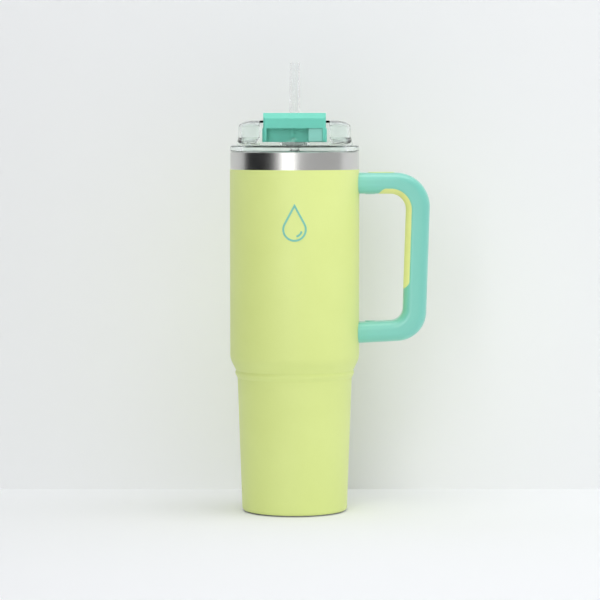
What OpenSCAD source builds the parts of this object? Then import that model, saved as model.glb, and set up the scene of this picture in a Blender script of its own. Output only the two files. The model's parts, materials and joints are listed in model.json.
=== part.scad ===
// Insulated travel mug: a double-walled steel cup with a two-tone D handle, a clear press-in
// lid with a flip-open sip cover, and a clear drinking straw.
// Millimetres, +Z up, origin on the cup's axis at the plane the cup stands on.
// -Y is the front, where the emblem and the sip opening are. +X is the handle side.

/* [Body] */
// Outside diameter of the upper body, over the powder coat
body_d = 94; // [84:1:114]
// Height of the steel rim above the table
body_h = 262; // [230:2:320]
// Outside diameter at the foot, just above its rounded corner
foot_d = 76.6; // [66:0.2:80]
// Outside diameter of the lower section, just below the shoulder
waist_d = 83.2; // [80:0.2:83.6]
// Height of the lower section, which goes into a cup holder
waist_h = 97.4; // [80:0.2:115]
// Radius of the rounded corner at the foot
foot_corner = 3.2; // [2:0.2:5]
// Slope of the shoulder away from vertical, in degrees
shoulder_angle = 25; // [18:1:35]
// Radius that blends the shoulder into the upper body
shoulder_blend = 14; // [8:1:20]
// Thickness of the powder coat
coat_t = 0.3; // [0.2:0.05:0.5]
// Height of the bare steel band under the rim
band_h = 12.8; // [8:0.4:20]

/* [Vacuum vessel] */
// Thickness of the outer steel wall
shell_t = 0.8; // [0.6:0.1:1.2]
// Thickness of the inner steel wall
liner_t = 0.7; // [0.5:0.1:1]
// Vacuum gap between the two walls
vacuum_gap = 3.3; // [2.4:0.1:4.5]
// Height of the inner floor above the table
floor_z = 8.6; // [7.6:0.2:12]
// Thickness of the rolled lip that joins the two walls
lip_t = 1.4; // [1:0.1:2]
// Height of the inner vessel's neck ring, with the rim
neck_h = 30; // [20:1:40]
// Radius of the base plate's opening, inside the standing ring
foot_ring_r = 31.5; // [26:0.5:32]
// Thickness of the base plate
base_t = 0.8; // [0.6:0.1:1.2]

/* [Handle] */
// Height of the handle from the lower arm's underside to the upper arm's top
handle_h = 123.4; // [110:0.2:135]
// Height of the lower arm's underside above the table
handle_z = 123.5; // [118:0.5:130]
// Reach of the grip bar beyond the upper body
handle_reach = 50.6; // [42:0.2:60]
// Thickness of the handle, seen from the side
grip_t = 15.6; // [13:0.1:19]
// Width of the handle, seen along the grip
grip_w = 20; // [16:0.5:24]
// Radius of the rounding along the handle's long edges
grip_round = 6.2; // [4:0.2:7]
// Inside radius of the upper bend
upper_bend = 9; // [7:0.5:12]
// Inside radius of the lower bend
lower_bend = 9; // [7:0.5:12]
// Thickness of the soft grip liner
liner_pad_t = 3.6; // [2.4:0.2:5]
// Height of the liner's lower end above the lower arm's underside
liner_end = 39; // [30:1:60]
// Thickness of the thumb rest's inlay
thumb_t = 1.4; // [1:0.1:2]
// How far the thumb rest stands proud of the arm
thumb_proud = 0.4; // [0:0.1:0.8]

/* [Handle fixing] */
// Width and height of the steel lugs that carry the handle
lug_w = 9; // [7:0.5:11]
// Height of each lug
lug_h = 7; // [5:0.5:8]
// Reach of each lug beyond the upper body
lug_reach = 14; // [12:0.5:18]
// Shank radius of the handle screws
screw_r = 1.95; // [1.45:0.05:2.2]
// Head radius of the handle screws
screw_head_r = 3.5; // [3:0.1:4]
// Distance of the screws' axes beyond the upper body
screw_reach = 8; // [6:0.5:10]

/* [Lid] */
// Thickness of the lid's flange
flange_t = 4.2; // [3:0.2:5]
// Depth of the lid's plug below the rim
plug_h = 12; // [10:0.5:16]
// Wall of the plug
plug_t = 3.2; // [2.8:0.1:4]
// Play between the lid's plug and the cup's bore
plug_play = 1; // [0.6:0.1:1.4]
// Thickness of the lid's deck
deck_t = 2.6; // [2:0.1:3.4]
// Depth of the tray below the foot of the splash ring
tray_h = 3.7; // [3:0.1:5]
// Height of the splash ring
ring_h = 12.2; // [8:0.2:15]
// Outside diameter of the splash ring
ring_d = 81.4; // [76:0.2:84]
// Wall of the splash ring
ring_t = 2; // [1.6:0.1:3]
// How far the splash ring's brim curls inward
brim_w = 11; // [6:0.5:13]
// Height over which it curls
brim_h = 4.7; // [3:0.1:7]
// Width of the lid's low front, between the ends of the splash ring
front_gap = 50; // [49:0.5:56]
// Width of the raised drinking lip
lip_w = 21; // [14:0.5:26]
// Height of the drinking lip above the front of the lid
lip_h = 2.2; // [1:0.1:3]
// Height of the gasket
gasket_h = 5; // [4:0.2:6]

/* [Sip cover] */
// Width of the sip cover's top
cover_w = 44.8; // [40:0.2:45]
// Depth of the sip cover's top, front to hinge
cover_d = 23.2; // [21:0.2:28]
// Height of the sip cover above the deck
cover_h = 21.2; // [18:0.2:24]
// Height of the thumb recess under the cover's lip
recess_h = 9.8; // [7:0.2:12]
// Width of the thumb recess
recess_w = 40; // [34:0.2:41]
// Depth of the thumb recess
recess_d = 5.6; // [4:0.2:7]
// Rounding of the cover's upright corners
cover_round = 1.6; // [1:0.2:5]
// Height of the bevel along the cover's top front edge
cover_bevel = 3.9; // [2:0.1:5]
// Rounding of the cover's two top side edges
cover_side_round = 0.6; // [0.4:0.1:2]
// Width of the slide lock
lock_w = 9.8; // [8:0.2:11]
// Radius of the hinge pin
pin_r = 1.25; // [1:0.05:1.5]
// Width of the sip slot in the deck
slot_w = 18.4; // [14:0.2:22]
// Front to back size of the sip slot
slot_d = 7.4; // [6:0.2:8]

/* [Straw] */
// Outside diameter of the straw
straw_d = 7.4; // [6:0.1:9]
// Wall of the straw
straw_t = 1.1; // [0.8:0.1:1.6]
// Height of the straw's tip above the table
straw_tip_z = 326.4; // [310:0.4:360]
// Distance of the straw behind the cup's axis
straw_y = 16; // [15:0.5:22]
// Gap between the straw's foot and the inner floor
straw_foot_gap = 4; // [2:0.5:10]

/* [Emblem] */
// Height of the printed drop emblem
emblem_h = 27; // [18:1:34]
// Stroke of the emblem's outline
emblem_stroke = 1.4; // [0.8:0.1:2.4]
// Height of the emblem's centre above the table
emblem_z = 212; // [180:1:225]

/* [Hidden] */
$fn = 64;

STEEL = "silver";
LIME = "#dcea94";
TEAL = "#7fd3c2";
CLEAR = [0.85, 0.93, 0.9, 0.4];
SILICONE = "#e8ece9";

eps = 0.01;
fit = 0.05;          // play of a part that is held still
run = 0.07;          // radial play of the hinge
arc_steps = 6;       // straight steps that draw a round stretch of a turned profile

// Body radii and heights
body_r = body_d / 2;
foot_r = foot_d / 2;
waist_r = waist_d / 2;
step_h = 5.8;        // height of the two small steps that form the bead under the shoulder
bead_r = waist_r + 1.3;
slope_top_r = body_r - shoulder_blend * (1 - cos(shoulder_angle));
slope_z = waist_h + step_h;
slope_top_z = slope_z + (slope_top_r - bead_r) / tan(shoulder_angle);
shoulder_z = slope_top_z + shoulder_blend * sin(shoulder_angle);
shell_top_z = body_h - lip_t;
coat_top_z = body_h - band_h;
plate_r = foot_ring_r + 2.5;
wall = coat_t + shell_t + vacuum_gap + liner_t;
bore_r = body_r - wall;

// Handle centre lines
arm_top_z = handle_z + handle_h;
upper_arm_z = arm_top_z - grip_t / 2;
lower_arm_z = handle_z + grip_t / 2;
bar_x = body_r + handle_reach - grip_t / 2;
upper_bend_r = upper_bend + grip_t / 2;
lower_bend_r = lower_bend + grip_t / 2;
upper_bend_x = bar_x - upper_bend_r;
lower_bend_x = bar_x - lower_bend_r;
bar_top_z = upper_arm_z - upper_bend_r;
bar_foot_z = lower_arm_z + lower_bend_r;
handle_skin = 0.05;  // the handle's ends stop this far off the coat
screw_x = body_r + screw_reach;
screw_seat_t = 1.2;
screw_wall = (grip_t - lug_h) / 2;
head_room = screw_wall - screw_seat_t;
screw_head_h = 0.58 * head_room;
cap_gap = 0.1;
cap_t = head_room - screw_head_h - cap_gap;
liner_start_x = body_r + 15.9;
thumb_x0 = body_r + 6.4;
thumb_x1 = body_r + 25.4;

// Lid heights, counted from the gap over the rim
lid_gap = 0.3;
flange_z = body_h + lid_gap;
flange_top_z = flange_z + flange_t;
deck_top_z = flange_top_z + 2.2;
deck_z = deck_top_z - deck_t;
tray_top_z = deck_top_z + tray_h;
ring_top_z = tray_top_z + ring_h;
front_z = deck_top_z - 0.3;
flange_r = body_r - 0.2;
plug_r = bore_r - plug_play;
ring_r = ring_d / 2;
tray_r = ring_r - ring_t;
groove_depth = 1.4;
gasket_z = flange_z - 9;
gasket_play = 0.1;

// Sip cover and hinge
cover_play = 0.4;
cover_z = deck_top_z + cover_play;
cover_top_z = deck_top_z + cover_h;
cover_lip_z = cover_z + recess_h;
pin_y = -9;
knuckle_r = 5;
ear_r = 3.2;
ear_gap = 0.3;
pin_z = cover_z + knuckle_r;
cover_front_y = pin_y - cover_d;
block_front_y = cover_front_y + 1.2;
block_w = cover_w + 1.4;
cover_wall = 2.2;
rib_x = -2.6;
rib_w = 1.8;
ear_t = 3;
ear_x = block_w / 2 - cover_wall - 0.6 - ear_t;
slot_y = pin_y - 8.2;
recess_y = block_front_y + recess_d;
inside_y = recess_y + cover_wall;
inside_w = block_w - 2 * cover_wall;
fall_y = cover_front_y + 12;

// Direction of the cover's back slope, which touches the knuckle
fall_rise = cover_top_z - pin_z;
fall_run = fall_y - pin_y;
fall_reach = sqrt(pow(fall_rise, 2) + pow(fall_run, 2));
fall_a = atan2(fall_rise, fall_run) - acos(knuckle_r / fall_reach);

// Slide lock, drawn at its open end on the +X side
lock_play = 0.15;
lock_x = recess_w / 2 - lock_play - lock_w;
lock_gap = 0.3;
lock_travel = lock_x - (rib_x + rib_w) - 0.25;
lock_foot_z = deck_top_z + 0.9;
lock_foot_t = 1;
keeper_bite = 2.2;
keeper_z = lock_foot_z + lock_foot_t + lock_gap;
keeper_t = 1.1;
keeper_x = lock_x - lock_travel + keeper_bite;
keeper_post = 1.3;
keeper_y0 = block_front_y + 1.7;
keeper_y1 = recess_y - 0.9;
stem_w = 4;
stem_x = lock_x + (lock_w - stem_w) / 2;
stem_y = block_front_y + 2.9;
stem_t = 1.2;
stem_h = 1.5;
head_t = 3;
head_h = 1.1;

// Straw
straw_r = straw_d / 2;
straw_foot_z = floor_z + straw_foot_gap;
grommet_r = straw_r + 2.8;

// Points of a round stretch about centre c, from angle a0 to a1 in degrees.
function arc(c, r, a0, a1, n = arc_steps) =
    [for (i = [0 : n]) c + r * [cos(a0 + (a1 - a0) * i / n), sin(a0 + (a1 - a0) * i / n)]];

// The body's side from the foot corner up to height top, taken in by inset from its skin.
function side(inset, top) = concat(
    arc([foot_r - foot_corner, foot_corner], foot_corner - inset, -90, 0),
    [[waist_r - inset, waist_h],
     [bead_r - 0.4 - inset, waist_h + 2.4],
     [bead_r - inset, slope_z]],
    arc([body_r - shoulder_blend, slope_top_z + shoulder_blend * sin(shoulder_angle)],
        shoulder_blend - inset, -shoulder_angle, 0),
    [[body_r - inset, top]]);

// The inner vessel's side up to its lower weld, from the middle of its floor, on its outer face
// at grow 0 and on its inner face at grow liner_t.
liner_corner = 9;
function vessel_low(grow) = concat(
    [[0, floor_z - liner_t + grow]],
    arc([foot_r - wall + liner_t - liner_corner + 0.6, floor_z - liner_t + liner_corner],
        liner_corner - grow, -90, 0),
    [[waist_r - wall + liner_t - grow, waist_h - 2]]);

// The same from the lower weld up to the neck ring.
function vessel_high(grow) = let (in = wall - liner_t + grow) concat(
    [[waist_r - in, waist_h - 2], [bead_r - 0.6 - in, waist_h + 3.4]],
    arc([body_r - wall + liner_t - shoulder_blend, shoulder_z + 1],
        shoulder_blend - grow, -shoulder_angle, 0),
    [[body_r - in, body_h - neck_h]]);

function reversed(points) = [for (i = [len(points) - 1 : -1 : 0]) points[i]];

// A turned wall between two lists of points that run the same way.
module turned(outer, inner) {
    rotate_extrude() polygon(concat(outer, reversed(inner)));
}

// A tube with a true bore.
module tube(r_out, r_in, h) {
    difference() {
        cylinder(r = r_out, h = h);
        translate([0, 0, -eps]) cylinder(r = r_in, h = h + 2 * eps);
    }
}

// A slab with round ends, w along X and d along Y.
module oblong(w, d, h) {
    half = (w - d) / 2;
    translate([-half, -d / 2, 0]) cube([2 * half, d, h]);
    for (s = [-1, 1]) translate([s * half, 0, 0]) cylinder(d = d, h = h);
}

// A flat outline with round corners, centred on the origin.
module round_rect(w, h, r) {
    square([w - 2 * r, h], center = true);
    square([w, h - 2 * r], center = true);
    for (x = [-1, 1], y = [-1, 1]) translate([x * (w / 2 - r), y * (h / 2 - r)]) circle(r);
}

/* ---- steel vessel ---- */

module outer_shell() {
    skin = coat_t;
    color(STEEL) turned(
        concat([[foot_ring_r, 0], [foot_r - foot_corner, 0]],
            side(skin, shell_top_z)),
        concat([[foot_ring_r, shell_t], [plate_r + 0.2, shell_t]],
            side(skin + shell_t, shell_top_z)));
}

module powder_coat() {
    coat_foot_z = 1;
    color(LIME) difference() {
        intersection() {
            turned(side(0, coat_top_z), side(coat_t, coat_top_z));
            translate([0, 0, coat_foot_z]) cylinder(r = body_r + 5, h = body_h);
        }
        for (z = [upper_arm_z, lower_arm_z]) lug_block(z, fit);
    }
}

// The inner vessel is three pieces welded end to end: its floor with the lower wall, the upper
// wall, and the neck ring, whose rolled rim also closes the gap to the outer shell.
module liner_cup() {
    color(STEEL) turned(vessel_low(0), vessel_low(liner_t));
}

module liner_wall() {
    color(STEEL) turned(vessel_high(0), vessel_high(liner_t));
}

module liner_neck() {
    neck_z = body_h - neck_h;
    lip_r = body_r - coat_t;
    color(STEEL) rotate_extrude() polygon([
        [bore_r, neck_z], [bore_r + liner_t, neck_z], [bore_r + liner_t, shell_top_z],
        [lip_r, shell_top_z], [lip_r, body_h - 0.5], [lip_r - 0.5, body_h],
        [bore_r + 0.5, body_h], [bore_r, body_h - 0.5]]);
}

module base_plate() {
    dimple_r = 6;
    color(STEEL) translate([0, 0, shell_t]) difference() {
        union() {
            cylinder(r = plate_r, h = base_t);
            cylinder(r = dimple_r + base_t, h = base_t + 0.8);
        }
        translate([0, 0, -eps]) cylinder(r = dimple_r, h = 0.8 + eps);
        cylinder(r = 1, h = 5);
    }
}

module vacuum_seal() {
    color("dimgray") translate([0, 0, shell_t]) {
        cylinder(r = 3, h = 0.8);
        cylinder(r = 1, h = base_t + 0.8);
    }
}

module getter() {
    getter_x = 18;
    color("gray") translate([getter_x, 0, shell_t + base_t]) {
        cylinder(r = 5, h = 1.6);
        cylinder(r = 3.6, h = 2.4);
    }
}

/* ---- emblem ---- */

// The outline of a drop: a round foot of radius r and two tangents that meet at height h over it.
function drop(r, h) = let (reach = h - r, a = asin(r / reach)) concat(
    [[0, reach]], arc([0, 0], r, 180 - a, 360 + a, 36));

// A short arc of stroke w along radius r, from angle a0 to a1.
function glint(r, w, a0, a1) = concat(arc([0, 0], r, a0, a1, 8), arc([0, 0], r - w, a1, a0, 8));

module emblem() {
    r = emblem_h / 3.1;
    inner_r = r - emblem_stroke;
    inner_h = emblem_h - emblem_stroke * emblem_h / r;
    print_t = 0.15;
    color(TEAL) intersection() {
        tube_at_body(body_r + print_t);
        translate([0, 0, emblem_z - emblem_h / 2 + r]) rotate([90, 0, 0])
            linear_extrude(body_r + 10) {
                difference() {
                    polygon(drop(r, emblem_h));
                    polygon(drop(inner_r, inner_h));
                }
                polygon(glint(inner_r - emblem_stroke, emblem_stroke, -75, -15));
            }
    }
}

// A sleeve on the coat, out to radius r, at the emblem's height.
module tube_at_body(r) {
    translate([0, 0, emblem_z - emblem_h]) tube(r, body_r, 2 * emblem_h);
}

/* ---- handle ---- */

// The steel block of a lug at height z, grown all round by play.
module lug_block(z, play = 0) {
    translate([body_r - 6, -lug_w / 2 - play, z - lug_h / 2 - play])
        cube([6 + lug_reach + play, lug_w + 2 * play, lug_h + 2 * play]);
}

// A lug with its threaded hole, which opens downward for up = -1 and upward for up = 1.
module lug(z, up) {
    hole_h = lug_h - 1;
    color(STEEL) difference() {
        lug_block(z);
        cylinder(r = body_r - coat_t, h = body_h);
        translate([screw_x, 0, z + up * lug_h / 2]) mirror([0, 0, up > 0 ? 1 : 0])
            translate([0, 0, -eps]) cylinder(r = screw_r + fit, h = hole_h);
    }
}

// The handle's section, t along X and the width along Y.
module grip_section(grow = 0) {
    round_rect(grip_t + 2 * grow, grip_w + 2 * grow, grip_round + grow);
}

// One arm of the handle, from inside the body out to where its bend starts.
module arm(z, bend_x) {
    translate([0, 0, z]) rotate([0, 90, 0]) linear_extrude(bend_x) grip_section();
}

// A quarter bend about the point (x, z) in the handle's plane, on from angle a0.
module bend(x, z, r, a0) {
    translate([x, 0, z]) rotate([90, 0, 0]) rotate([0, 0, a0])
        rotate_extrude(angle = 90) translate([r, 0]) grip_section();
}

// The whole handle's outer form, with its ends shaped to the body.
module handle_form() {
    difference() {
        union() {
            arm(upper_arm_z, upper_bend_x);
            arm(lower_arm_z, lower_bend_x);
            bend(upper_bend_x, bar_top_z, upper_bend_r, 0);
            bend(lower_bend_x, bar_foot_z, lower_bend_r, 270);
            translate([bar_x, 0, bar_foot_z])
                linear_extrude(bar_top_z - bar_foot_z) grip_section();
        }
        cylinder(r = body_r + handle_skin, h = body_h);
    }
}

// The soft liner's share of the form: a band along the inside of the upper bend and the bar.
module liner_zone() {
    tip = liner_pad_t / 2;
    arm_run = upper_bend_x - liner_start_x - sqrt(3) * liner_pad_t;
    bar_run = bar_top_z - handle_z - liner_end - tip;
    translate([upper_bend_x, 0, bar_top_z]) rotate([90, 0, 0])
        translate([0, 0, -grip_w]) linear_extrude(2 * grip_w) {
            // round the bend
            intersection() {
                difference() {
                    circle(upper_bend + liner_pad_t);
                    circle(upper_bend - 1);
                }
                square(50);
            }
            // along the arm, to an end that rises in a curve
            translate([-arm_run, upper_bend - 1]) square([arm_run, liner_pad_t + 1]);
            translate([-arm_run, upper_bend - liner_pad_t]) circle(2 * liner_pad_t);
            // down the bar, to a rounded end
            translate([upper_bend - 1, -bar_run]) square([liner_pad_t + 1, bar_run]);
            translate([upper_bend + tip, -bar_run]) circle(tip);
        }
}

// The thumb rest's pocket in the top of the upper arm, as high as proud above it.
module thumb_zone(proud) {
    translate([(thumb_x0 + thumb_x1) / 2, 0, arm_top_z - thumb_t])
        oblong(thumb_x1 - thumb_x0, 9, thumb_t + proud);
}

// The way for a handle screw and its cap, in from the arm's inner face.
module screw_way(z, up) {
    translate([screw_x, 0, z + up * grip_t / 2]) mirror([0, 0, up > 0 ? 1 : 0]) {
        translate([0, 0, -eps]) cylinder(r = screw_head_r + 0.3, h = head_room + eps);
        cylinder(r = screw_r + 0.15, h = screw_wall + 1);
    }
}

module handle() {
    color(TEAL) difference() {
        handle_form();
        liner_zone();
        thumb_zone(1);
        lug_block(upper_arm_z, fit);
        lug_block(lower_arm_z, fit);
        screw_way(upper_arm_z, -1);
        screw_way(lower_arm_z, 1);
    }
}

module grip_liner() {
    color(LIME) intersection() {
        handle_form();
        liner_zone();
    }
}

module thumb_rest() {
    color(LIME) thumb_zone(thumb_proud);
}

// A pan-head screw with a hex socket, its head against the arm's inner wall.
module handle_screw(z, up) {
    shank = screw_seat_t + lug_h - 1.6;
    color(STEEL) translate([screw_x, 0, z + up * grip_t / 2]) mirror([0, 0, up > 0 ? 1 : 0])
        difference() {
            union() {
                translate([0, 0, head_room - screw_head_h])
                    cylinder(r = screw_head_r, h = screw_head_h);
                translate([0, 0, head_room - eps]) cylinder(r = screw_r, h = shank);
            }
            translate([0, 0, head_room - screw_head_h - eps])
                cylinder(r = 1.45, h = 2 / 3 * screw_head_h, $fn = 6);
        }
}

// The plug that hides a handle screw, flush with the arm's inner face.
module screw_cap(z, up) {
    color(TEAL) translate([screw_x, 0, z + up * grip_t / 2]) mirror([0, 0, up > 0 ? 1 : 0])
        cylinder(r = screw_head_r + 0.25, h = cap_t);
}

/* ---- lid ---- */

// The clear lid as turned: flange, plug with its gasket groove, deck and tray wall.
module lid_turned() {
    groove_r = plug_r - groove_depth;
    difference() {
        rotate_extrude() polygon(concat(
            [[0, deck_z], [plug_r - plug_t, deck_z],
             [plug_r - plug_t, body_h - plug_h], [plug_r - 0.8, body_h - plug_h],
             [plug_r, body_h - plug_h + 0.8],
             [plug_r, gasket_z], [groove_r, gasket_z], [groove_r, gasket_z + gasket_h],
             [plug_r, gasket_z + gasket_h], [plug_r, flange_z], [flange_r - 0.6, flange_z]],
            arc([flange_r - 0.6, flange_z + 0.6], 0.6, -90, 0, 3),
            arc([flange_r - 1.2, flange_top_z - 1.2], 1.2, 0, 90, 4),
            [[ring_r + 1.8, flange_top_z], [ring_r + 0.2, tray_top_z],
             [tray_r, tray_top_z], [tray_r, deck_top_z], [0, deck_top_z]]));
        // the low front, between the ends of the splash ring
        front_cut(tray_top_z + 1, 14 - ring_r);
    }
}

// The open front of the tray wall and splash ring, from back_y forward and up to height top.
module front_cut(top, back_y) {
    spread = 2.4;
    translate([0, back_y, 0]) rotate([90, 0, 0]) linear_extrude(40)
        polygon([[-front_gap / 2 - spread, front_z], [front_gap / 2 + spread, front_z],
            [front_gap / 2, tray_top_z], [front_gap / 2, top],
            [-front_gap / 2, top], [-front_gap / 2, tray_top_z]]);
}

// The platform that carries the drinking lip over the flange, narrower at its foot.
module front_platform() {
    half = front_gap / 2 + 2.4;
    intersection() {
        translate([0, -ring_r + 6, 0]) rotate([90, 0, 0]) linear_extrude(20)
            polygon([[-half + 3, flange_top_z - 1], [half - 3, flange_top_z - 1],
                [half, front_z], [-half, front_z]]);
        cylinder(r = flange_r - 1, h = body_h + 40);
    }
    // the arched drinking lip
    arch_r = (pow(lip_w / 2, 2) + pow(lip_h, 2)) / (2 * lip_h);
    intersection() {
        translate([0, 0, front_z - 0.5])
            tube(flange_r - 1.6, flange_r - 4.4, lip_h + 2);
        translate([0, 0, front_z + lip_h - arch_r]) rotate([90, 0, 0])
            cylinder(r = arch_r, h = 60);
    }
}

// An ear that holds the hinge pin.
module ear(x) {
    translate([x, pin_y, 0]) difference() {
        union() {
            translate([0, -ear_r, deck_top_z - 0.5]) cube([ear_t, 2 * ear_r, pin_z - deck_top_z + 0.5]);
            translate([0, 0, pin_z]) rotate([0, 90, 0]) cylinder(r = ear_r, h = ear_t);
        }
        translate([-1, 0, pin_z]) rotate([0, 90, 0]) cylinder(r = pin_r + fit, h = ear_t + 2);
    }
}

// The hook on the lid that holds the slide lock's foot down when the lock is shut.
module keeper() {
    depth = keeper_y1 - keeper_y0;
    post_x = lock_x - lock_travel - lock_gap - keeper_post;
    translate([post_x, keeper_y0, front_z - 0.5])
        cube([keeper_post, depth, keeper_z + keeper_t - front_z + 0.5]);
    translate([post_x, keeper_y0, keeper_z]) cube([keeper_x - post_x, depth, keeper_t]);
}

module lid_base() {
    vent_r = 1;
    color(CLEAR) difference() {
        union() {
            lid_turned();
            front_platform();
            ear(ear_x);
            ear(-ear_x - ear_t);
            keeper();
        }
        translate([0, slot_y, deck_z - 1]) oblong(slot_w, slot_d, deck_t + 2);
        translate([0, straw_y, deck_z - 1]) cylinder(r = grommet_r, h = deck_t + 2);
        translate([-22, 20, deck_z - 1]) cylinder(r = vent_r, h = deck_t + 2);
    }
}

// A quarter of an oval about centre c, half_w wide and half_h high, from its side to its top.
function quarter(c, half_w, half_h, n = 10) =
    [for (i = [0 : n]) c + [half_w * cos(90 * i / n), half_h * sin(90 * i / n)]];

// The splash ring, whose brim curls inward, open at the front.
module splash_ring() {
    brim_t = 0.8 * ring_t;
    c = [ring_r - brim_w, ring_top_z - brim_h];
    color(CLEAR) difference() {
        rotate_extrude() polygon(concat(
            [[tray_r, tray_top_z], [ring_r, tray_top_z]],
            quarter(c, brim_w, brim_h),
            reversed(quarter(c, brim_w - ring_t, brim_h - brim_t))));
        front_cut(ring_top_z + 1, pin_y - 3);
    }
}

module lid_gasket() {
    r_in = plug_r - groove_depth;
    r_out = bore_r - gasket_play;
    color(SILICONE) translate([0, 0, gasket_z]) rotate_extrude() polygon([
        [r_in, 0], [plug_r - 0.2, 0], [r_out, 1.2], [plug_r - 0.2, 1.8],
        [plug_r - 0.2, gasket_h - 1.8], [r_out, gasket_h - 1.2],
        [plug_r - 0.2, gasket_h], [r_in, gasket_h]]);
}

module straw_grommet() {
    collar = 1.4;
    color(SILICONE) translate([0, straw_y, 0]) difference() {
        union() {
            translate([0, 0, deck_top_z]) cylinder(r = grommet_r + 2, h = collar);
            translate([0, 0, deck_z]) cylinder(r = grommet_r, h = deck_t);
            translate([0, 0, deck_z - collar]) cylinder(r = grommet_r + 1, h = collar);
        }
        translate([0, 0, deck_z - 5]) cylinder(r = straw_r + 0.1, h = 20);
    }
}

module hinge_pin() {
    color(STEEL) translate([-block_w / 2 + 0.6, pin_y, pin_z]) rotate([0, 90, 0])
        cylinder(r = pin_r, h = block_w - 1.2);
}

/* ---- sip cover ---- */

// A rounded block from z0 to z1 with its front at front_y, w wide, reaching back past the hinge.
module cover_block(w, front_y, z0, z1) {
    depth = pin_y + knuckle_r - front_y;
    translate([0, front_y + depth / 2, z0]) linear_extrude(z1 - z0)
        round_rect(w, depth, cover_round);
}

// The cover's side view, in Y and Z: round at the hinge and falling away behind the lip.
module cover_side() {
    rotate([90, 0, 90]) translate([0, 0, -50]) linear_extrude(100) {
        polygon(concat(
            [[cover_front_y, cover_z], [pin_y, cover_z]],
            arc([pin_y, pin_z], knuckle_r, -90, fall_a, 16),
            [[fall_y, cover_top_z], [cover_front_y + 0.85 * cover_bevel, cover_top_z],
             [cover_front_y, cover_top_z - cover_bevel]]));
    }
}

// The hollow under the cover, open below, with room for the ears to turn in.
module cover_hollow() {
    turn_r = ear_r + ear_gap;
    roof_z = cover_top_z - cover_wall;
    roof_y = pin_y + (turn_r - (roof_z - pin_z) * sin(fall_a)) / cos(fall_a);
    rotate([90, 0, 90]) translate([0, 0, -inside_w / 2]) linear_extrude(inside_w)
        polygon(concat(
            [[inside_y, cover_z - 1], [pin_y + knuckle_r + 1, cover_z - 1],
             [pin_y + knuckle_r + 1, pin_z]],
            arc([pin_y, pin_z], turn_r, 0, fall_a, 8),
            [[roof_y, roof_z], [inside_y, roof_z]]));
    // the slots that the ears stand in
    for (x = [ear_x, -ear_x - ear_t]) translate([x - ear_gap, pin_y - turn_r, cover_z - 1])
        cube([ear_t + 2 * ear_gap, 2 * turn_r + knuckle_r, cover_h + 2]);
}

// The cover's front view: round along both top edges.
module cover_front() {
    rotate([90, 0, 0]) translate([0, 0, -50]) linear_extrude(100)
        translate([0, (cover_top_z + cover_z) / 2 - 10])
            round_rect(block_w, cover_top_z - cover_z + 20, cover_side_round);
}

module sip_cover() {
    color(TEAL) difference() {
        intersection() {
            union() {
                cover_block(cover_w, cover_front_y, cover_z + 1, cover_top_z);
                cover_block(block_w, block_front_y, cover_z, cover_lip_z);
            }
            cover_side();
            cover_front();
        }
        // the thumb recess, with a thin rib in it
        difference() {
            translate([-recess_w / 2, cover_front_y - 10, cover_z - 1])
                cube([recess_w, recess_y - cover_front_y + 10, recess_h + 1]);
            translate([rib_x, recess_y - recess_d / 2, cover_lip_z - 6.6])
                cube([rib_w, recess_d, 8]);
        }
        cover_hollow();
        // the T groove in the recess's ceiling that the lock hangs in
        translate([stem_x - lock_travel - lock_gap, stem_y - stem_t / 2 - lock_gap, cover_lip_z - 1])
            cube([stem_w + lock_travel + 2 * lock_gap, stem_t + 2 * lock_gap, 1 + stem_h + lock_gap]);
        translate([stem_x - lock_travel - lock_gap, stem_y - head_t / 2 - lock_gap,
                   cover_lip_z + stem_h - lock_gap])
            cube([stem_w + lock_travel + 2 * lock_gap, head_t + 2 * lock_gap, head_h + 2 * lock_gap]);
        translate([-50, pin_y, pin_z]) rotate([0, 90, 0]) cylinder(r = pin_r + run, h = 100);
    }
}

// The slide lock: a thumb block in the recess that hangs by a T head from the groove over it.
module slide_lock() {
    face = 0.2;
    skin = 1.4;
    block_y = block_front_y - face;
    back_y = recess_y - lock_gap;
    color(TEAL) {
        difference() {
            translate([lock_x, block_y, lock_foot_z])
                cube([lock_w, back_y - block_y, cover_lip_z - lock_play - lock_foot_z]);
            // the notch over the foot, behind the front skin
            translate([lock_x - 1, block_y + face + skin, lock_foot_z + lock_foot_t])
                cube([1 + keeper_bite + 2 * lock_gap, recess_d, keeper_t + 2 * lock_gap]);
        }
        translate([stem_x, stem_y - stem_t / 2, cover_lip_z - 1])
            cube([stem_w, stem_t, 1 + stem_h + eps]);
        translate([stem_x, stem_y - head_t / 2, cover_lip_z + stem_h]) cube([stem_w, head_t, head_h]);
    }
}

module sip_seal() {
    plate_t = 1.4;
    plug_w = slot_w - 1.4;
    plug_d = slot_d - 1.8;
    plug_h = 1.6;
    seal_gap = 0.15;
    plate_z = deck_top_z + seal_gap;
    color(SILICONE) translate([0, slot_y, 0]) {
        translate([0, 0, plate_z]) oblong(slot_w + 4, slot_d + 3, plate_t);
        translate([0, 0.4, deck_top_z - plug_h]) oblong(plug_w, plug_d, plug_h + seal_gap + eps);
    }
}

module straw() {
    color(CLEAR) translate([0, straw_y, straw_foot_z])
        tube(straw_r, straw_r - straw_t, straw_tip_z - straw_foot_z);
}

outer_shell();
powder_coat();
liner_cup();
liner_wall();
liner_neck();
base_plate();
vacuum_seal();
getter();
emblem();
lug(upper_arm_z, -1);  // upper_lug
lug(lower_arm_z, 1);  // lower_lug
handle();
grip_liner();
thumb_rest();
handle_screw(upper_arm_z, -1);  // upper_handle_screw
handle_screw(lower_arm_z, 1);  // lower_handle_screw
screw_cap(upper_arm_z, -1);  // upper_screw_cap
screw_cap(lower_arm_z, 1);  // lower_screw_cap
lid_base();
splash_ring();
lid_gasket();
straw_grommet();
hinge_pin();
sip_cover();
sip_seal();
slide_lock();
straw();
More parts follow.
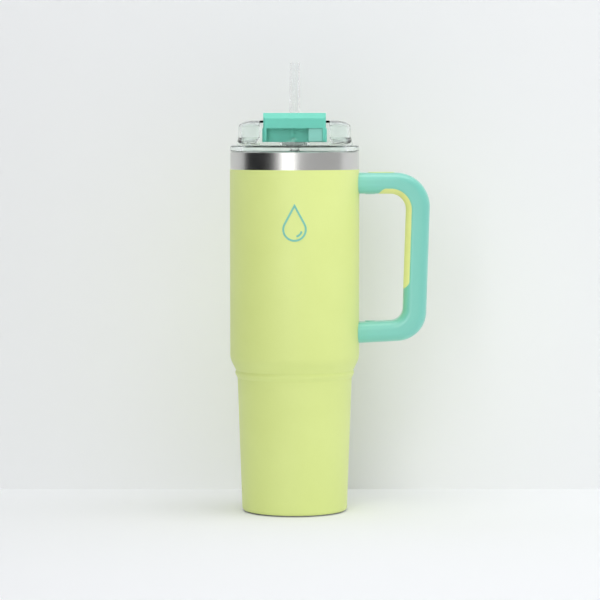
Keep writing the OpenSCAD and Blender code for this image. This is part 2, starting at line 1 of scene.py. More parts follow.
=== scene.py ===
"""Looks for an insulated travel mug: a double-walled cup, a D handle, a clear lid and a straw.

Everything is in metres, +Z up. The cup's axis is the Z axis, the handle is towards +X and the
emblem and the sip opening face -Y.
"""

import json
import logging
import math
from dataclasses import dataclass, field
from enum import Enum
from typing import Any, Iterable, Optional, Sequence

import bmesh
import bpy
from mathutils import Matrix, Vector

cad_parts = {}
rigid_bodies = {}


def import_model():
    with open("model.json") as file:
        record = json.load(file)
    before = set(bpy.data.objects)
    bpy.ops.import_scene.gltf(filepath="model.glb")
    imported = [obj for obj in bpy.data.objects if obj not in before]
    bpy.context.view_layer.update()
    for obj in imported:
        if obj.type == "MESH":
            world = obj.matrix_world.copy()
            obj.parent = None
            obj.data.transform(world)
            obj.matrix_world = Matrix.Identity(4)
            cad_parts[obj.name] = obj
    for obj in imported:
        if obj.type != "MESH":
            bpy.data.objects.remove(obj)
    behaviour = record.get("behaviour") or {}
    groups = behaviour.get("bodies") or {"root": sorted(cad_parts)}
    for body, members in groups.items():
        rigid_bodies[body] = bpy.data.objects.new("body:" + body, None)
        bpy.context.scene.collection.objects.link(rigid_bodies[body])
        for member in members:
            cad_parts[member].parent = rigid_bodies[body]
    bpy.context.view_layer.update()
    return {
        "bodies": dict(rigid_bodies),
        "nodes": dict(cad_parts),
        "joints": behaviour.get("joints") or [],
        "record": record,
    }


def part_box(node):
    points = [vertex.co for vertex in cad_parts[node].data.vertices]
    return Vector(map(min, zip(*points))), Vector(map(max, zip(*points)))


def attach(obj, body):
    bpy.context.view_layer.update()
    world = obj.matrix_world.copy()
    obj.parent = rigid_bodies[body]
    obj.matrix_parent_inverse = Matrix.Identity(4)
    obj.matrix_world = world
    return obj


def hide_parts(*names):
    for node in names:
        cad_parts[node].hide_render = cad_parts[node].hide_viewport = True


LOG = logging.getLogger("travel_mug")
MM = 0.001
Point = tuple[float, float]
Colour = tuple[float, float, float, float]


# ---------------------------------------------------------------- helpers for materials


def linear(hex_code: str, alpha: float = 1.0) -> Colour:
    """Turns an sRGB hex colour into linear values.

    Args:
        hex_code: Six hex digits, with or without a leading hash.
        alpha: The fourth value.

    Returns:
        Linear red, green, blue and alpha.
    """
    digits = hex_code.lstrip("#")
    channels = [int(digits[i:i + 2], 16) / 255 for i in (0, 2, 4)]
    values = [c / 12.92 if c <= 0.04045 else ((c + 0.055) / 1.055) ** 2.4 for c in channels]
    return values[0], values[1], values[2], alpha


def add_node(tree: bpy.types.NodeTree, kind: str, inputs: Optional[dict[Any, Any]] = None,
             **settings: Any) -> bpy.types.Node:
    """Adds a shader node, sets it up and links what feeds it.

    Args:
        tree: The node tree that gets the node.
        kind: The node's type name, without the ShaderNode prefix.
        inputs: Input name or index to a value, or to the socket that feeds it.
        **settings: Attributes of the node itself.

    Returns:
        The new node.
    """
    node = tree.nodes.new("ShaderNode" + kind)
    for name, value in settings.items():
        setattr(node, name, value)
    for name, value in (inputs or {}).items():
        if isinstance(value, bpy.types.NodeSocket):
            tree.links.new(value, node.inputs[name])
        else:
            node.inputs[name].default_value = value
    return node


class Grain(Enum):
    """Which way a surface's fine pattern runs."""

    EVEN = (1.0, 1.0, 1.0)
    ROUND_THE_AXIS = (0.012, 0.012, 1.0)
    ALONG_THE_AXIS = (1.0, 1.0, 0.03)


@dataclass(frozen=True)
class Finish:
    """What every finish has: a name for its material and the numbers of its surface.

    Attributes:
        name: The material's name.
        colour: The sRGB hex colour of the clean surface.
        shade: The sRGB hex colour that the surface drifts to in broad soft patches.
        roughness: The middle roughness.
        roughness_spread: How far the roughness drifts either way.
        grain_mm: The real size of the fine pattern.
        grain: Which way the fine pattern runs.
        bump_mm: The height of the fine pattern.
        metallic: 1 for a bare metal, 0 for anything else.
        ior: The index of refraction; a metal keeps the shader's own.
    """

    name: str
    colour: str
    shade: str
    roughness: float
    roughness_spread: float
    grain_mm: float
    bump_mm: float
    grain: Grain = Grain.EVEN
    metallic: float = 0.0
    ior: float = 1.5

    def sockets(self) -> dict[str, Any]:
        """Further plain values for the shader's own sockets."""
        return {}

    def surface(self, tree: bpy.types.NodeTree,
                shader: bpy.types.NodeSocket) -> bpy.types.NodeSocket:
        """What reaches the output; only clear finishes add to the shader.

        Args:
            tree: The material's node tree.
            shader: The principled shader's output.

        Returns:
            The socket to join to the material's output.
        """
        return shader

    def wear(self, tree: bpy.types.NodeTree, colour: bpy.types.NodeSocket,
             where: bpy.types.NodeSocket) -> bpy.types.NodeSocket:
        """Adds this finish's own marks over the base colour; plain finishes add none.

        Args:
            tree: The material's node tree.
            colour: The colour so far.
            where: The object's coordinates.

        Returns:
            The colour with the marks on it.
        """
        return colour

    def build(self) -> bpy.types.Material:
        """Builds the material: drifting colour, drifting roughness and a fine bump.

        Returns:
            The material, ready to put on a piece.
        """
        material = bpy.data.materials.new(self.name)
        material.use_nodes = True
        tree = material.node_tree
        tree.nodes.clear()
        where = add_node(tree, "TexCoord").outputs["Object"]
        broad = add_node(tree, "TexNoise", {"Vector": where, "Scale": 28.0, "Detail": 3.0,
                                            "Roughness": 0.55})
        stretched = add_node(tree, "Mapping", {"Vector": where, "Scale": self.grain.value})
        fine = add_node(tree, "TexNoise", {"Vector": stretched.outputs[0],
                                           "Scale": 1.0 / (self.grain_mm * MM), "Detail": 4.0,
                                           "Roughness": 0.6})
        drift = add_node(tree, "MapRange", {"Value": broad.outputs["Fac"], "From Min": 0.35,
                                            "From Max": 0.65, "To Min": 0.0, "To Max": 1.0})
        mix = add_node(tree, "Mix", {"Factor": drift.outputs[0]}, data_type="RGBA")
        mix.inputs[6].default_value = linear(self.colour)
        mix.inputs[7].default_value = linear(self.shade)
        colour = self.wear(tree, mix.outputs[2], where)
        rough = add_node(tree, "MapRange", {
            "Value": fine.outputs["Fac"], "From Min": 0.3, "From Max": 0.7,
            "To Min": max(0.0, self.roughness - self.roughness_spread),
            "To Max": min(1.0, self.roughness + self.roughness_spread)})
        bump = add_node(tree, "Bump", {"Height": fine.outputs["Fac"], "Strength": 1.0,
                                       "Distance": self.bump_mm * MM})
        sockets = {"Base Color": colour, "Roughness": rough.outputs[0],
                   "Normal": bump.outputs[0], "Metallic": self.metallic}
        if not self.metallic:
            sockets["IOR"] = self.ior
        sockets.update(self.sockets())
        shader = add_node(tree, "BsdfPrincipled", sockets)
        surface = self.surface(tree, shader.outputs[0])
        if self.grain is Grain.ROUND_THE_AXIS and self.metallic:
            tangent = add_node(tree, "Tangent", direction_type="RADIAL", axis="Z")
            tree.links.new(tangent.outputs[0], shader.inputs["Tangent"])
        add_node(tree, "OutputMaterial", {"Surface": surface})
        material.diffuse_color = linear(self.colour)
        return material


@dataclass(frozen=True)
class PowderCoat(Finish):
    """Polyester powder coat, sprayed dry and baked: matt, with the faint pebble of fused powder."""

    def wear(self, tree: bpy.types.NodeTree, colour: bpy.types.NodeSocket,
             where: bpy.types.NodeSocket) -> bpy.types.NodeSocket:
        """Adds the tiny light and dark flecks that fused powder shows up close.

        Args:
            tree: The material's node tree.
            colour: The colour so far.
            where: The object's coordinates.

        Returns:
            The colour with the flecks on it.
        """
        fleck = add_node(tree, "TexNoise", {"Vector": where, "Scale": 2500.0, "Detail": 1.0})
        amount = add_node(tree, "MapRange", {"Value": fleck.outputs["Fac"], "From Min": 0.3,
                                             "From Max": 0.7, "To Min": 0.985, "To Max": 1.01})
        scale = add_node(tree, "VectorMath", {0: colour}, operation="SCALE")
        tree.links.new(amount.outputs[0], scale.inputs["Scale"])
        return scale.outputs[0]

    def sockets(self) -> dict[str, Any]:
        """A soft sheen, as the pebbled surface catches light at a low angle."""
        return {"Specular IOR Level": 0.42, "Sheen Weight": 0.06, "Sheen Roughness": 0.5}


@dataclass(frozen=True)
class BrushedStainless(Finish):
    """304 stainless steel, brushed on a lathe: long streaks round the axis stretch each glint.

    Attributes:
        anisotropy: How far a glint is stretched across the brush lines.
    """

    anisotropy: float = 0.55

    def sockets(self) -> dict[str, Any]:
        """The stretch of the glints across the brush lines."""
        return {"Anisotropic": self.anisotropy, "Anisotropic Rotation": 0.0}


@dataclass(frozen=True)
class TurnedStainless(Finish):
    """Small turned stainless parts: bright, with very fine tool marks."""


@dataclass(frozen=True)
class MouldedPolypropylene(Finish):
    """Injection-moulded polypropylene with a spark-eroded satin texture: waxy, softly lit.

    Attributes:
        gloss: Strength of the plastic's own reflection.
        coat: Weight of the broad glint on top of it.
    """

    gloss: float = 0.55
    coat: float = 0.2

    def sockets(self) -> dict[str, Any]:
        """A little light goes in and comes out again, as it does in polypropylene."""
        return {"Subsurface Weight": 0.1, "Subsurface Radius": (0.6, 1.0, 0.9),
                "Subsurface Scale": 1.0 * MM, "Specular IOR Level": self.gloss,
                "Coat Weight": self.coat, "Coat Roughness": 0.3}


@dataclass(frozen=True)
class MouldedRubber(Finish):
    """Thermoplastic rubber moulded over the handle: matt, with hardly any shine."""

    def sockets(self) -> dict[str, Any]:
        """Low gloss and a dusty sheen at the edges."""
        return {"Specular IOR Level": 0.3, "Sheen Weight": 0.12, "Sheen Roughness": 0.6}


@dataclass(frozen=True)
class ClearCopolyester(Finish):
    """Clear moulded copolyester: glassy, with a faint ripple from the flow of the melt.

    Attributes:
        shadow_tint: The sRGB hex colour of the light that it lets through into its shadow.
    """

    shadow_tint: str = "#eef6f3"

    def surface(self, tree: bpy.types.NodeTree,
                shader: bpy.types.NodeSocket) -> bpy.types.NodeSocket:
        """Clear plastic throws hardly any shadow, so light reaches what lies under it.

        Args:
            tree: The material's node tree.
            shader: The principled shader's output.

        Returns:
            The shader, swapped for plain transparency where a shadow is worked out.
        """
        path = add_node(tree, "LightPath")
        clear = add_node(tree, "BsdfTransparent", {"Color": linear(self.shadow_tint)})
        mix = add_node(tree, "MixShader", {0: path.outputs["Is Shadow Ray"], 1: shader,
                                           2: clear.outputs[0]})
        return mix.outputs[0]

    def sockets(self) -> dict[str, Any]:
        """Light passes straight through."""
        return {"Transmission Weight": 1.0, "Specular IOR Level": 0.5}


@dataclass(frozen=True)
class MilkySilicone(Finish):
    """Cured silicone rubber: milky and soft, with light glowing a short way into it."""

    def sockets(self) -> dict[str, Any]:
        """Light scatters inside."""
        return {"Subsurface Weight": 0.4, "Subsurface Radius": (1.0, 1.0, 1.0),
                "Subsurface Scale": 2.0 * MM, "Specular IOR Level": 0.4}


@dataclass(frozen=True)
class ScreenInk(Finish):
    """Screen-printed ink over powder coat: a thin satin film that follows the pebble."""


class Finishes:
    """All the finishes of the mug, each built once."""

    def __init__(self) -> None:
        """Builds every material."""
        self.coat = PowderCoat("powder_coat_matt_lime", "#dfec94", "#ddea91", 0.46, 0.03,
                               0.3, 0.003).build()
        # brush lines are 0.05 mm apart on the real rim; drawn five times coarser, so they show
        self.steel = BrushedStainless("stainless_steel_brushed", "#d6d5d2", "#cfcecb", 0.24, 0.03,
                                      0.25, 0.0012, Grain.ROUND_THE_AXIS, 1.0).build()
        # the inside is drawn and left satin, so light reaches down the walls
        self.bore = TurnedStainless("stainless_steel_satin_drawn", "#f0efec", "#e8e7e4", 0.55, 0.05,
                                    0.25, 0.004, Grain.ROUND_THE_AXIS, 1.0).build()
        self.fastener = TurnedStainless("stainless_steel_turned", "#b9b8b6", "#aeadab", 0.3, 0.08,
                                        0.2, 0.003, Grain.EVEN, 1.0).build()
        self.sintered = TurnedStainless("getter_sintered_metal", "#4e4e50", "#434345", 0.75, 0.1,
                                        0.3, 0.03, Grain.EVEN, 1.0).build()
        self.handle = MouldedPolypropylene("polypropylene_satin_sea_green", "#7ad0bf", "#77cdbc",
                                           0.34, 0.03, 0.3, 0.002, coat=1.0).build()
        self.cover = MouldedPolypropylene("polypropylene_cover_sea_green", "#70d6c0", "#6dd3bd",
                                          0.42, 0.03, 0.3, 0.002, gloss=0.4, coat=0.0).build()
        # the slide lock gets a lighter copy of the sea-green plastic: painted light, brightening
        # the lock where it sits under the cover's overhang
        self.lock = MouldedPolypropylene("polypropylene_lock_sea_green_painted_light", "#8cdccc", "#89d9c9",
                                         0.32, 0.03, 0.3, 0.002).build()
        self.rubber = MouldedRubber("thermoplastic_rubber_matt_lime", "#f0f4a4", "#e4e996",
                                    0.66, 0.06, 0.4, 0.015).build()
        # both clear plastics bend light less than real ones (about 1.5), to look as faint
        self.clear = ClearCopolyester("copolyester_clear_moulded", "#f6fbf9", "#f4faf8", 0.015,
                                      0.008, 12.0, 0.0008, ior=1.3).build()
        self.straw = ClearCopolyester("polypropylene_clear_extruded", "#fdfdfd", "#fbfcfc", 0.004,
                                      0.002, 8.0, 0.0, Grain.ALONG_THE_AXIS, ior=1.2).build()
        self.silicone = MilkySilicone("silicone_milky_moulded", "#dfe5e2", "#d8dfdb", 0.42, 0.05,
                                      0.5, 0.006, ior=1.41).build()
        self.ink = ScreenInk("screen_ink_sea_green", "#7fcab9", "#79c4b3", 0.45, 0.05,
                             0.5, 0.006).build()


# ---------------------------------------------------------------- helpers for meshes


def put_on(piece: bpy.types.Object, material: bpy.types.Material) -> None:
    """Gives a piece one material in place of any it has.

    Args:
        piece: A mesh or curve object.
        material: The material to put on it.
    """
    piece.data.materials.clear()
    piece.data.materials.append(material)


def link_mesh(name: str, mesh: bmesh.types.BMesh) -> bpy.types.Object:
    """Turns a bmesh into a smooth-shaded object in the scene.

    Args:
        name: The piece's name.
        mesh: The finished bmesh, which is freed.

    Returns:
        The new object.
    """
    bmesh.ops.recalc_face_normals(mesh, faces=mesh.faces)
    data = bpy.data.meshes.new(name)
    mesh.to_mesh(data)
    mesh.free()
    for polygon in data.polygons:
        polygon.use_smooth = True
    piece = bpy.data.objects.new(name, data)
    bpy.context.scene.collection.objects.link(piece)
    return piece


def rounded(keys: Sequence[tuple[float, float, float]], steps: int = 8) -> list[Point]:
    """Rounds the corners of an outline with arcs.

    Args:
        keys: Corners as (x, y, radius of the rounding), open at both ends.
        steps: Straight steps in each arc.

    Returns:
        The points of the rounded outline.
    """
    points: list[Point] = [keys[0][:2]]
    for before, here, after in zip(keys, keys[1:], keys[2:]):
        corner, radius = Vector(here[:2]), here[2]
        to_a = (Vector(before[:2]) - corner).normalized()
        to_b = (Vector(after[:2]) - corner).normalized()
        half = to_a.angle(to_b) / 2
        if radius <= 0 or half > math.radians(89.9):
            points.append(here[:2])
            continue
        centre = corner + (to_a + to_b).normalized() * (radius / math.sin(half))
        start = corner + to_a * (radius / math.tan(half)) - centre
        end = corner + to_b * (radius / math.tan(half)) - centre
        turn = start.angle_signed(end)
        for i in range(steps + 1):
            spoke = start.copy()
            spoke.rotate(Matrix.Rotation(-turn * i / steps, 2))
            points.append((centre.x + spoke.x, centre.y + spoke.y))
    points.append(keys[-1][:2])
    return points


def arc(centre: Point, radius: float, start: float, end: float, steps: int = 12) -> list[Point]:
    """Points along a round stretch.

    Args:
        centre: The centre of the stretch.
        radius: Its radius.
        start: The angle of its first point, in degrees.
        end: The angle of its last point, in degrees.
        steps: Straight steps along it.

    Returns:
        The points, with both ends.
    """
    angles = [math.radians(start + (end - start) * i / steps) for i in range(steps + 1)]
    return [(centre[0] + radius * math.cos(a), centre[1] + radius * math.sin(a)) for a in angles]


def loft(name: str, rings: Sequence[Sequence[Vector]]) -> bpy.types.Object:
    """Joins closed rings of points, one after the other, and caps both ends.

    Args:
        name: The piece's name.
        rings: Rings of equally many points, in millimetres.

    Returns:
        The lofted object.
    """
    mesh = bmesh.new()
    made = [[mesh.verts.new(point * MM) for point in ring] for ring in rings]
    count = len(made[0])
    for ring, following in zip(made, made[1:]):
        for j in range(count):
            k = (j + 1) % count
            mesh.faces.new((ring[j], following[j], following[k], ring[k]))
    mesh.faces.new(made[0])
    mesh.faces.new(made[-1])
    return link_mesh(name, mesh)


def turned(name: str, outline: Sequence[Point], around: int = 240) -> bpy.types.Object:
    """Turns a closed outline about the Z axis.

    Args:
        name: The piece's name.
        outline: Points as (radius, height) in millimetres, the last joined to the first.
        around: Steps round the axis.

    Returns:
        The turned object.
    """
    mesh = bmesh.new()
    rings = []
    for i in range(around):
        angle = 2 * math.pi * i / around
        rings.append([mesh.verts.new((r * MM * math.cos(angle), r * MM * math.sin(angle), z * MM))
                      for r, z in outline])
    count = len(outline)
    for ring, following in zip(rings, rings[1:] + rings[:1]):
        for j in range(count):
            k = (j + 1) % count
            mesh.faces.new((ring[j], following[j], following[k], ring[k]))
    return link_mesh(name, mesh)


def smooth_by_angle(piece: bpy.types.Object, degrees: float = 28.0) -> None:
    """Shades a CAD mesh smooth across shallow edges and sharp across the rest.

    Args:
        piece: The object, whose points stay where they are.
        degrees: Edges that turn by less than this look smooth.
    """
    data = piece.data
    for polygon in data.polygons:
        polygon.use_smooth = True
    data.set_sharp_from_angle(angle=math.radians(degrees))


# ---------------------------------------------------------------- the mug


@dataclass
class Vessel:
    """The steel vessel and its powder coat. Sizes are in millimetres.

    Attributes:
        frame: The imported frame.
        finishes: The mug's materials.
        coat_t: Thickness of the powder coat.
        foot_corner: Rounding of the foot.
        shoulder_blend: Rounding between the shoulder and the upper wall.
        foot_at: Radius at which the foot's rounding is centred.
        foot_sweep: Degrees that the foot's rounding starts below level.
        shoulder_z: Height at which the shoulder's rounding is centred.
        shoulder_sweep: Degrees that the shoulder's rounding starts below level.
        bead: Corners of the rolled bead under the shoulder as (radius, z, rounding), upward.
        edge_soft: Softening of the coat's upper edge.
        pieces: The names of the finished pieces.
    """

    frame: dict[str, Any]
    finishes: Finishes
    coat_t: float = 0.3
    foot_corner: float = 3.2
    shoulder_blend: float = 14.0
    foot_at: float = 35.1
    foot_sweep: float = -43.4
    shoulder_z: float = 115.1
    shoulder_sweep: float = -25.0
    bead: tuple[tuple[float, float, float], ...] = (
        (41.62, 97.6, 0.8), (42.8, 99.8, 0.8), (43.35, 101.4, 1.0), (42.8, 103.25, 0.5))
    edge_soft: float = 0.12
    pieces: list[str] = field(default_factory=list)

    def side(self, inset: float) -> list[Point]:
        """The coat's side from the foot to its upper edge.

        Args:
            inset: How far it is taken in from the outer surface.

        Returns:
            The points as (radius, z), upward.
        """
        body_r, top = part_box("powder_coat")[1].x / MM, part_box("powder_coat")[1].z / MM
        corner, blend = self.foot_corner, self.shoulder_blend
        foot = arc((self.foot_at, corner), corner - inset, self.foot_sweep, 0.0, 10)
        shoulder = arc((body_r - blend, self.shoulder_z), blend - inset,
                       self.shoulder_sweep, 0.0, 16)
        bead = rounded([(*foot[-1], 0.0), *((r - inset, z, turn) for r, z, turn in self.bead),
                        (*shoulder[0], 0.0)], 6)
        return foot[:-1] + bead[:-1] + shoulder + [(body_r - inset, top)]

    def coat_outline(self) -> list[Point]:
        """The coat's closed section: its outer side, the softened upper edge and its inner side.

        Returns:
            The points as (radius, z), round the section.
        """
        outer, inner = self.side(0.0), self.side(self.coat_t)
        (r, top), soft = outer[-1], self.edge_soft
        lip = [(r, top - soft), (r - soft, top)]
        return outer[:-1] + lip + inner[::-1]

    def build(self) -> None:
        """Makes the coat as one smooth skin in place of the CAD one."""
        coat = turned("powder_coat_skin", self.coat_outline(), 288)
        smooth_by_angle(coat, 50.0)
        put_on(coat, self.finishes.coat)
        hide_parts("powder_coat")
        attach(coat, "cup")
        self.pieces.append(coat.name)

    def dress(self) -> None:
        """Puts the finishes on the vessel's CAD pieces."""
        nodes = self.frame["nodes"]
        satin = ("liner_cup", "liner_wall")
        for name in ("outer_shell", *satin, "liner_neck", "base_plate"):
            put_on(nodes[name], self.finishes.bore if name in satin else self.finishes.steel)
            smooth_by_angle(nodes[name])
            self.pieces.append(name)
        for name in ("vacuum_seal", "getter"):
            put_on(nodes[name], self.finishes.sintered)
            self.pieces.append(name)
        put_on(nodes["emblem"], self.finishes.ink)
        self.pieces.append("emblem")


@dataclass
class Handle:
    """The D handle with its soft pad, thumb rest, lugs, screws and caps, in millimetres.

    The handle is lofted between two outlines in the plane of its arms. Its bar leans towards the
    cup on the way down and its lower arm rises a little, so the grip narrows downward.

    Attributes:
        frame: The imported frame.
        finishes: The mug's materials.
        outer: Corners of the outer outline as (x, z, rounding), from the top down.
        inner: Corners of the inner outline in the same order.
        corner: Rounding of the section.
        pad_t: Depth of the soft pad.
        pad_from: Where the pad starts on the upper arm, as a distance from the cup's axis.
        pad_to: Height of the pad's lower end.
        parting: Depth of the fine groove where the pad meets the handle.
        parting_w: Width of that groove's slope.
        upper_ramp: Length over which the pad comes up to its depth on the upper arm.
        lower_ramp: The same at its lower end.
        turns: Steps round each bend.
        runs: Steps along the upper arm, the bar and the lower arm.
        pieces: The names of the finished pieces.
    """

    frame: dict[str, Any]
    finishes: Finishes
    outer: tuple[tuple[float, float, float], ...] = (
        (45.2, 246.9, 0.0), (99.0, 246.9, 24.8), (95.2, 125.6, 21.6), (45.2, 122.9, 0.0))
    inner: tuple[tuple[float, float, float], ...] = (
        (45.2, 231.6, 0.0), (81.3, 231.6, 11.6), (78.5, 139.9, 9.2), (45.2, 138.2, 0.0))
    corner: float = 6.2
    pad_t: float = 3.9
    pad_from: float = 60.8
    pad_to: float = 162.6
    parting: float = 0.22
    parting_w: float = 0.3
    upper_ramp: float = 4.6
    lower_ramp: float = 6.0
    turns: int = 40
    runs: tuple[int, int, int] = (64, 150, 40)
    pieces: list[str] = field(default_factory=list)

    def spine(self) -> list[tuple[Point, Point]]:
        """Pairs of points, one on each outline, from the upper arm's root to the lower arm's.

        Returns:
            The pairs as (outer point, inner point).
        """
        turns, runs = self.turns, self.runs
        outlines = []
        for keys in (self.outer, self.inner):
            bends = rounded(keys, turns)
            points: list[Point] = []
            for i, (a, b) in enumerate(zip(bends, bends[1:])):
                cuts = {0: runs[0], turns + 1: runs[1], 2 * turns + 2: runs[2]}.get(i, 1)
                points += [(a[0] + (b[0] - a[0]) * c / cuts, a[1] + (b[1] - a[1]) * c / cuts)
                           for c in range(cuts)]
            outlines.append(points + [bends[-1]])
        return list(zip(*outlines))

    def pad_depth(self, near: Point, index: int, bar_at: int) -> float:
        """How deep the pad goes at a point of the inner outline.

        Args:
            near: The point on the inner outline.
            index: Its place along the spine.
            bar_at: The place where the upper bend ends.

        Returns:
            The depth, 0 where there is no pad.
        """
        if index < bar_at:
            share = (near[0] - self.pad_from) / self.upper_ramp
        else:
            share = (near[1] - self.pad_to) / self.lower_ramp
        return self.pad_t * math.sin(math.radians(90 * min(1.0, max(0.0, share))))

    def section(self, near: Point, far: Point, low: float, high: float) -> list[Vector]:
        """One ring of the handle or the pad, across the line from near to far.

        Args:
            near: The point on the inner outline.
            far: The point on the outer outline.
            low: Where the ring starts, from near.
            high: Where it ends, from near.

        Returns:
            The ring's points.
        """
        half_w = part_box("handle")[1].y / MM
        start = Vector((near[0], 0.0, near[1]))
        line = Vector((far[0], 0.0, far[1])) - start
        full, way = line.length, line.normalized()
        steps, sides = 30, []
        for i in range(steps + 1):
            at = low + (high - low) * (1 - math.cos(math.pi * i / steps)) / 2
            edge = self.corner - min(at, full - at, self.corner)
            half = half_w - self.corner + math.sqrt(max(0.0, self.corner ** 2 - edge ** 2))
            for end, cut in ((at - low, low > 0), (high - at, high < full)):
                if cut:
                    half -= self.parting * max(0.0, 1 - end / self.parting_w)
            sides.append((at, half))
        ring = sides + [(at, -half) for at, half in reversed(sides)]
        return [start + way * at + Vector((0.0, half, 0.0)) for at, half in ring]

    def build(self) -> None:
        """Lofts the handle and its pad in place of the CAD ones."""
        spine = self.spine()
        bar_at = self.runs[0] + self.turns
        depths = [self.pad_depth(near, i, bar_at) for i, (_, near) in enumerate(spine)]
        shell = [self.section(near, far, depth, math.dist(near, far))
                 for (far, near), depth in zip(spine, depths)]
        pad = [self.section(near, far, 0.0, depth)
               for (far, near), depth in zip(spine, depths) if depth > 0.02]
        for name, rings, node, material in (
                ("handle_shell", shell, "handle", self.finishes.handle),
                ("grip_pad", pad, "grip_liner", self.finishes.rubber)):
            piece = loft(name, rings)
            smooth_by_angle(piece, 34.0)
            put_on(piece, material)
            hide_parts(node)
            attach(piece, "cup")
            self.pieces.append(name)

    def dress(self) -> None:
        """Puts the finishes on the handle's CAD pieces."""
        nodes = self.frame["nodes"]
        finish_of = {
            "upper_screw_cap": self.finishes.handle, "lower_screw_cap": self.finishes.handle,
            "thumb_rest": self.finishes.rubber, "upper_lug": self.finishes.fastener,
            "lower_lug": self.finishes.fastener, "upper_handle_screw": self.finishes.fastener,
            "lower_handle_screw": self.finishes.fastener}
        for name, material in finish_of.items():
            put_on(nodes[name], material)
            smooth_by_angle(nodes[name])
            self.pieces.append(name)


@dataclass
class Lid:
    """The clear lid with its splash ring, gasket, grommet and hinge pin.

    Attributes:
        frame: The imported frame.
        finishes: The mug's materials.
        pieces: The names of the finished pieces.
    """

    frame: dict[str, Any]
    finishes: Finishes
    pieces: list[str] = field(default_factory=list)

    def build(self) -> None:
        """The lid's pieces are all CAD ones, so nothing is added."""

    def dress(self) -> None:
        """Puts the finishes on the lid's CAD pieces."""
        nodes = self.frame["nodes"]
        finish_of = {
            "lid_base": self.finishes.clear, "splash_ring": self.finishes.clear,
            "lid_gasket": self.finishes.silicone, "straw_grommet": self.finishes.silicone,
            "hinge_pin": self.finishes.fastener}
        for name, material in finish_of.items():
            put_on(nodes[name], material)
            smooth_by_angle(nodes[name])
            self.pieces.append(name)


@dataclass
class SipCover:
    """The flip-open sip cover with its seal and slide lock.

    Attributes:
        frame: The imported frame.
        finishes: The mug's materials.
        pieces: The names of the finished pieces.
    """

    frame: dict[str, Any]
    finishes: Finishes
    pieces: list[str] = field(default_factory=list)

    def build(self) -> None:
        """The cover's pieces are all CAD ones, so nothing is added."""

    def dress(self) -> None:
        """Puts the finishes on the cover's CAD pieces."""
        nodes = self.frame["nodes"]
        finish_of = {"sip_cover": self.finishes.cover, "slide_lock": self.finishes.lock,
                     "sip_seal": self.finishes.silicone}
        for name, material in finish_of.items():
            put_on(nodes[name], material)
            smooth_by_angle(nodes[name])
            self.pieces.append(name)


@dataclass
class Straw:
    """The clear drinking straw.

    Attributes:
        frame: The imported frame.
        finishes: The mug's materials.
        wall: The tube's wall, in millimetres.
        foot_soft: Rounding of the lower end, in millimetres.
        tip_soft: Rounding of the end that is drunk from, in millimetres.
        pieces: The names of the finished pieces.
    """

    frame: dict[str, Any]
    finishes: Finishes
    wall: float = 1.1
    foot_soft: float = 0.25
    tip_soft: float = 0.4
    pieces: list[str] = field(default_factory=list)

    def build(self) -> None:
        """Turns the tube in fine steps, with softened ends, in place of the CAD one."""
        low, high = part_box("straw")
        radius, soft, tip_soft = (high.x - low.x) / 2 / MM, self.foot_soft, self.tip_soft
        foot, tip = low.z / MM, high.z / MM
        inner = radius - self.wall
        outline = rounded([(inner + self.wall / 2, foot, 0.0), (radius, foot, soft),
                           (radius, tip, tip_soft), (inner, tip, tip_soft), (inner, foot, soft),
                           (inner + self.wall / 2, foot, 0.0)], 6)[:-1]
        straw = turned("straw_tube", outline, 160)
        straw.data.transform(Matrix.Translation((0.0, (low.y + high.y) / 2, 0.0)))
        put_on(straw, self.finishes.straw)
        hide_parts("straw")
        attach(straw, "drinking_straw")
        self.pieces.append(straw.name)

    def dress(self) -> None:
        """The tube has its finish already."""


# ---------------------------------------------------------------- the studio


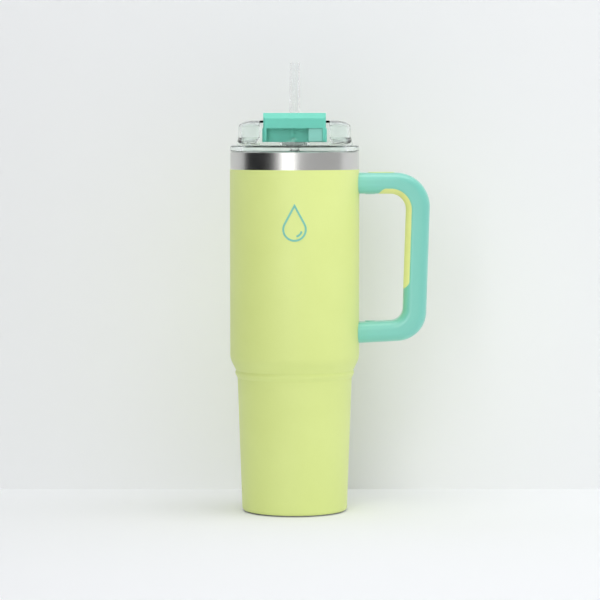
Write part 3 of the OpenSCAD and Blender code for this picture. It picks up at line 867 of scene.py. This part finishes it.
@dataclass
class Studio:
    """The pale floor and wall, the soft lights and the camera. Lengths are in metres.

    Attributes:
        eye: Where the camera stands.
        target: The point in the middle of the view.
        view_w: Width of the view at the target.
        wall_y: How far behind the cup's axis the wall stands.
        half_w: Half the width of the floor and the wall.
        middle: What the soft boxes face.
        room_light: Strength of the even light from all round.
    """

    eye: tuple[float, float, float] = (0.0039, -1.95, 0.277)
    target: tuple[float, float, float] = (0.0039, 0.0, 0.1541)
    view_w: float = 0.4372
    wall_y: float = 0.115
    half_w: float = 3.0
    middle: tuple[float, float, float] = (0.0, 0.0, 0.16)
    room_light: float = 0.58

    def paper(self, name: str, colour: str) -> bpy.types.Material:
        """Matt studio paper that can't be seen from behind, so views from the back stay clear.

        Args:
            name: The material's name.
            colour: The sRGB hex colour.

        Returns:
            The paper material.
        """
        material = bpy.data.materials.new(name)
        material.use_nodes = True
        tree = material.node_tree
        tree.nodes.clear()
        matt = add_node(tree, "BsdfDiffuse", {"Color": linear(colour)})
        clear = add_node(tree, "BsdfTransparent")
        back = add_node(tree, "NewGeometry")
        mix = add_node(tree, "MixShader", {0: back.outputs["Backfacing"], 1: matt.outputs[0],
                                           2: clear.outputs[0]})
        add_node(tree, "OutputMaterial", {"Surface": mix.outputs[0]})
        return material

    def sheet(self, name: str, corners: Sequence[tuple[float, float, float]],
              colour: str) -> bpy.types.Object:
        """Lays one flat sheet of studio paper.

        Args:
            name: The sheet's name.
            corners: Its corners, counterclockwise from the side that is seen.
            colour: The sRGB hex colour.

        Returns:
            The sheet.
        """
        data = bpy.data.meshes.new(name)
        data.from_pydata(corners, [], [tuple(range(len(corners)))])
        piece = bpy.data.objects.new(name, data)
        bpy.context.scene.collection.objects.link(piece)
        put_on(piece, self.paper(name + "_paper", colour))
        return piece

    def area(self, name: str, place: tuple[float, float, float], aim: tuple[float, float, float],
             size: tuple[float, float], watts: float) -> bpy.types.Object:
        """Hangs one soft box.

        Args:
            name: The light's name.
            place: Where it hangs.
            aim: The point that it faces.
            size: Its width and height.
            watts: Its power.

        Returns:
            The light.
        """
        data = bpy.data.lights.new(name, "AREA")
        data.shape = "RECTANGLE"
        data.size, data.size_y = size
        data.energy = watts
        light = bpy.data.objects.new(name, data)
        light.location = place
        light.rotation_euler = (Vector(aim) - Vector(place)).to_track_quat("-Z", "Y").to_euler()
        bpy.context.scene.collection.objects.link(light)
        return light

    def build(self) -> None:
        """Lays the floor and wall, hangs the lights and lights the room."""
        w, y, middle = self.half_w, self.wall_y, self.middle
        self.sheet("studio_floor", [(-w, -w, 0), (w, -w, 0), (w, y, 0), (-w, y, 0)], "#f0f1f3")
        self.sheet("studio_wall", [(-w, y, 0), (w, y, 0), (w, y, w), (-w, y, w)], "#f4f5f6")
        self.area("front_soft_box", (-0.4, -2.0, 0.85), middle, (0.95, 1.6), 10.8)
        self.area("top_soft_box", (0.1, -0.35, 1.6), middle, (1.5, 1.0), 10.2)
        side = self.area("right_soft_box", (1.5, -0.1, 0.5), middle, (0.4, 1.0), 2.5)
        side.visible_glossy = False
        # a dark card to the left gives the steel its dark band and stays out of sight
        card = self.sheet("dark_card", [(-0.62, 0.08, -0.02), (-0.62, 0.08, 0.8),
                                        (-0.85, -1.22, 0.8), (-0.85, -1.22, -0.02)], "#16181a")
        card.visible_camera = False
        card.visible_shadow = False
        card.visible_transmission = False
        world = bpy.data.worlds.new("studio_room")
        bpy.context.scene.world = world
        world.use_nodes = True
        background = world.node_tree.nodes["Background"]
        background.inputs["Color"].default_value = linear("#f6f7f8")
        background.inputs["Strength"].default_value = self.room_light

    def camera(self) -> None:
        """Sets up the camera at the reference view."""
        data = bpy.data.cameras.new("camera")
        eye, target = Vector(self.eye), Vector(self.target)
        data.sensor_width = 36.0
        data.lens = data.sensor_width * (target - eye).length / self.view_w
        data.clip_end = 20.0
        camera = bpy.data.objects.new("camera", data)
        camera.location = eye
        camera.rotation_euler = (target - eye).to_track_quat("-Z", "Y").to_euler()
        bpy.context.scene.collection.objects.link(camera)
        bpy.context.scene.camera = camera
        bpy.context.scene.view_settings.view_transform = "Standard"


def corners(bounds: Iterable[Vector]) -> list[list[float]]:
    """Turns a box's corners into plain lists of numbers."""
    return [[float(v) for v in corner] for corner in bounds]


def main() -> None:
    """Loads the frame, builds every sub-assembly and the studio, and reports each piece."""
    logging.basicConfig(level=logging.INFO, format="%(name)s: %(message)s")
    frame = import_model()
    studio = Studio()
    studio.camera()
    finishes = Finishes()
    for assembly in (Vessel(frame, finishes), Handle(frame, finishes), Lid(frame, finishes),
                     SipCover(frame, finishes), Straw(frame, finishes)):
        assembly.build()
        assembly.dress()
        for name in assembly.pieces:
            LOG.info("%s: %s", type(assembly).__name__, name)
    studio.build()


if __name__ == "__main__":
    main()
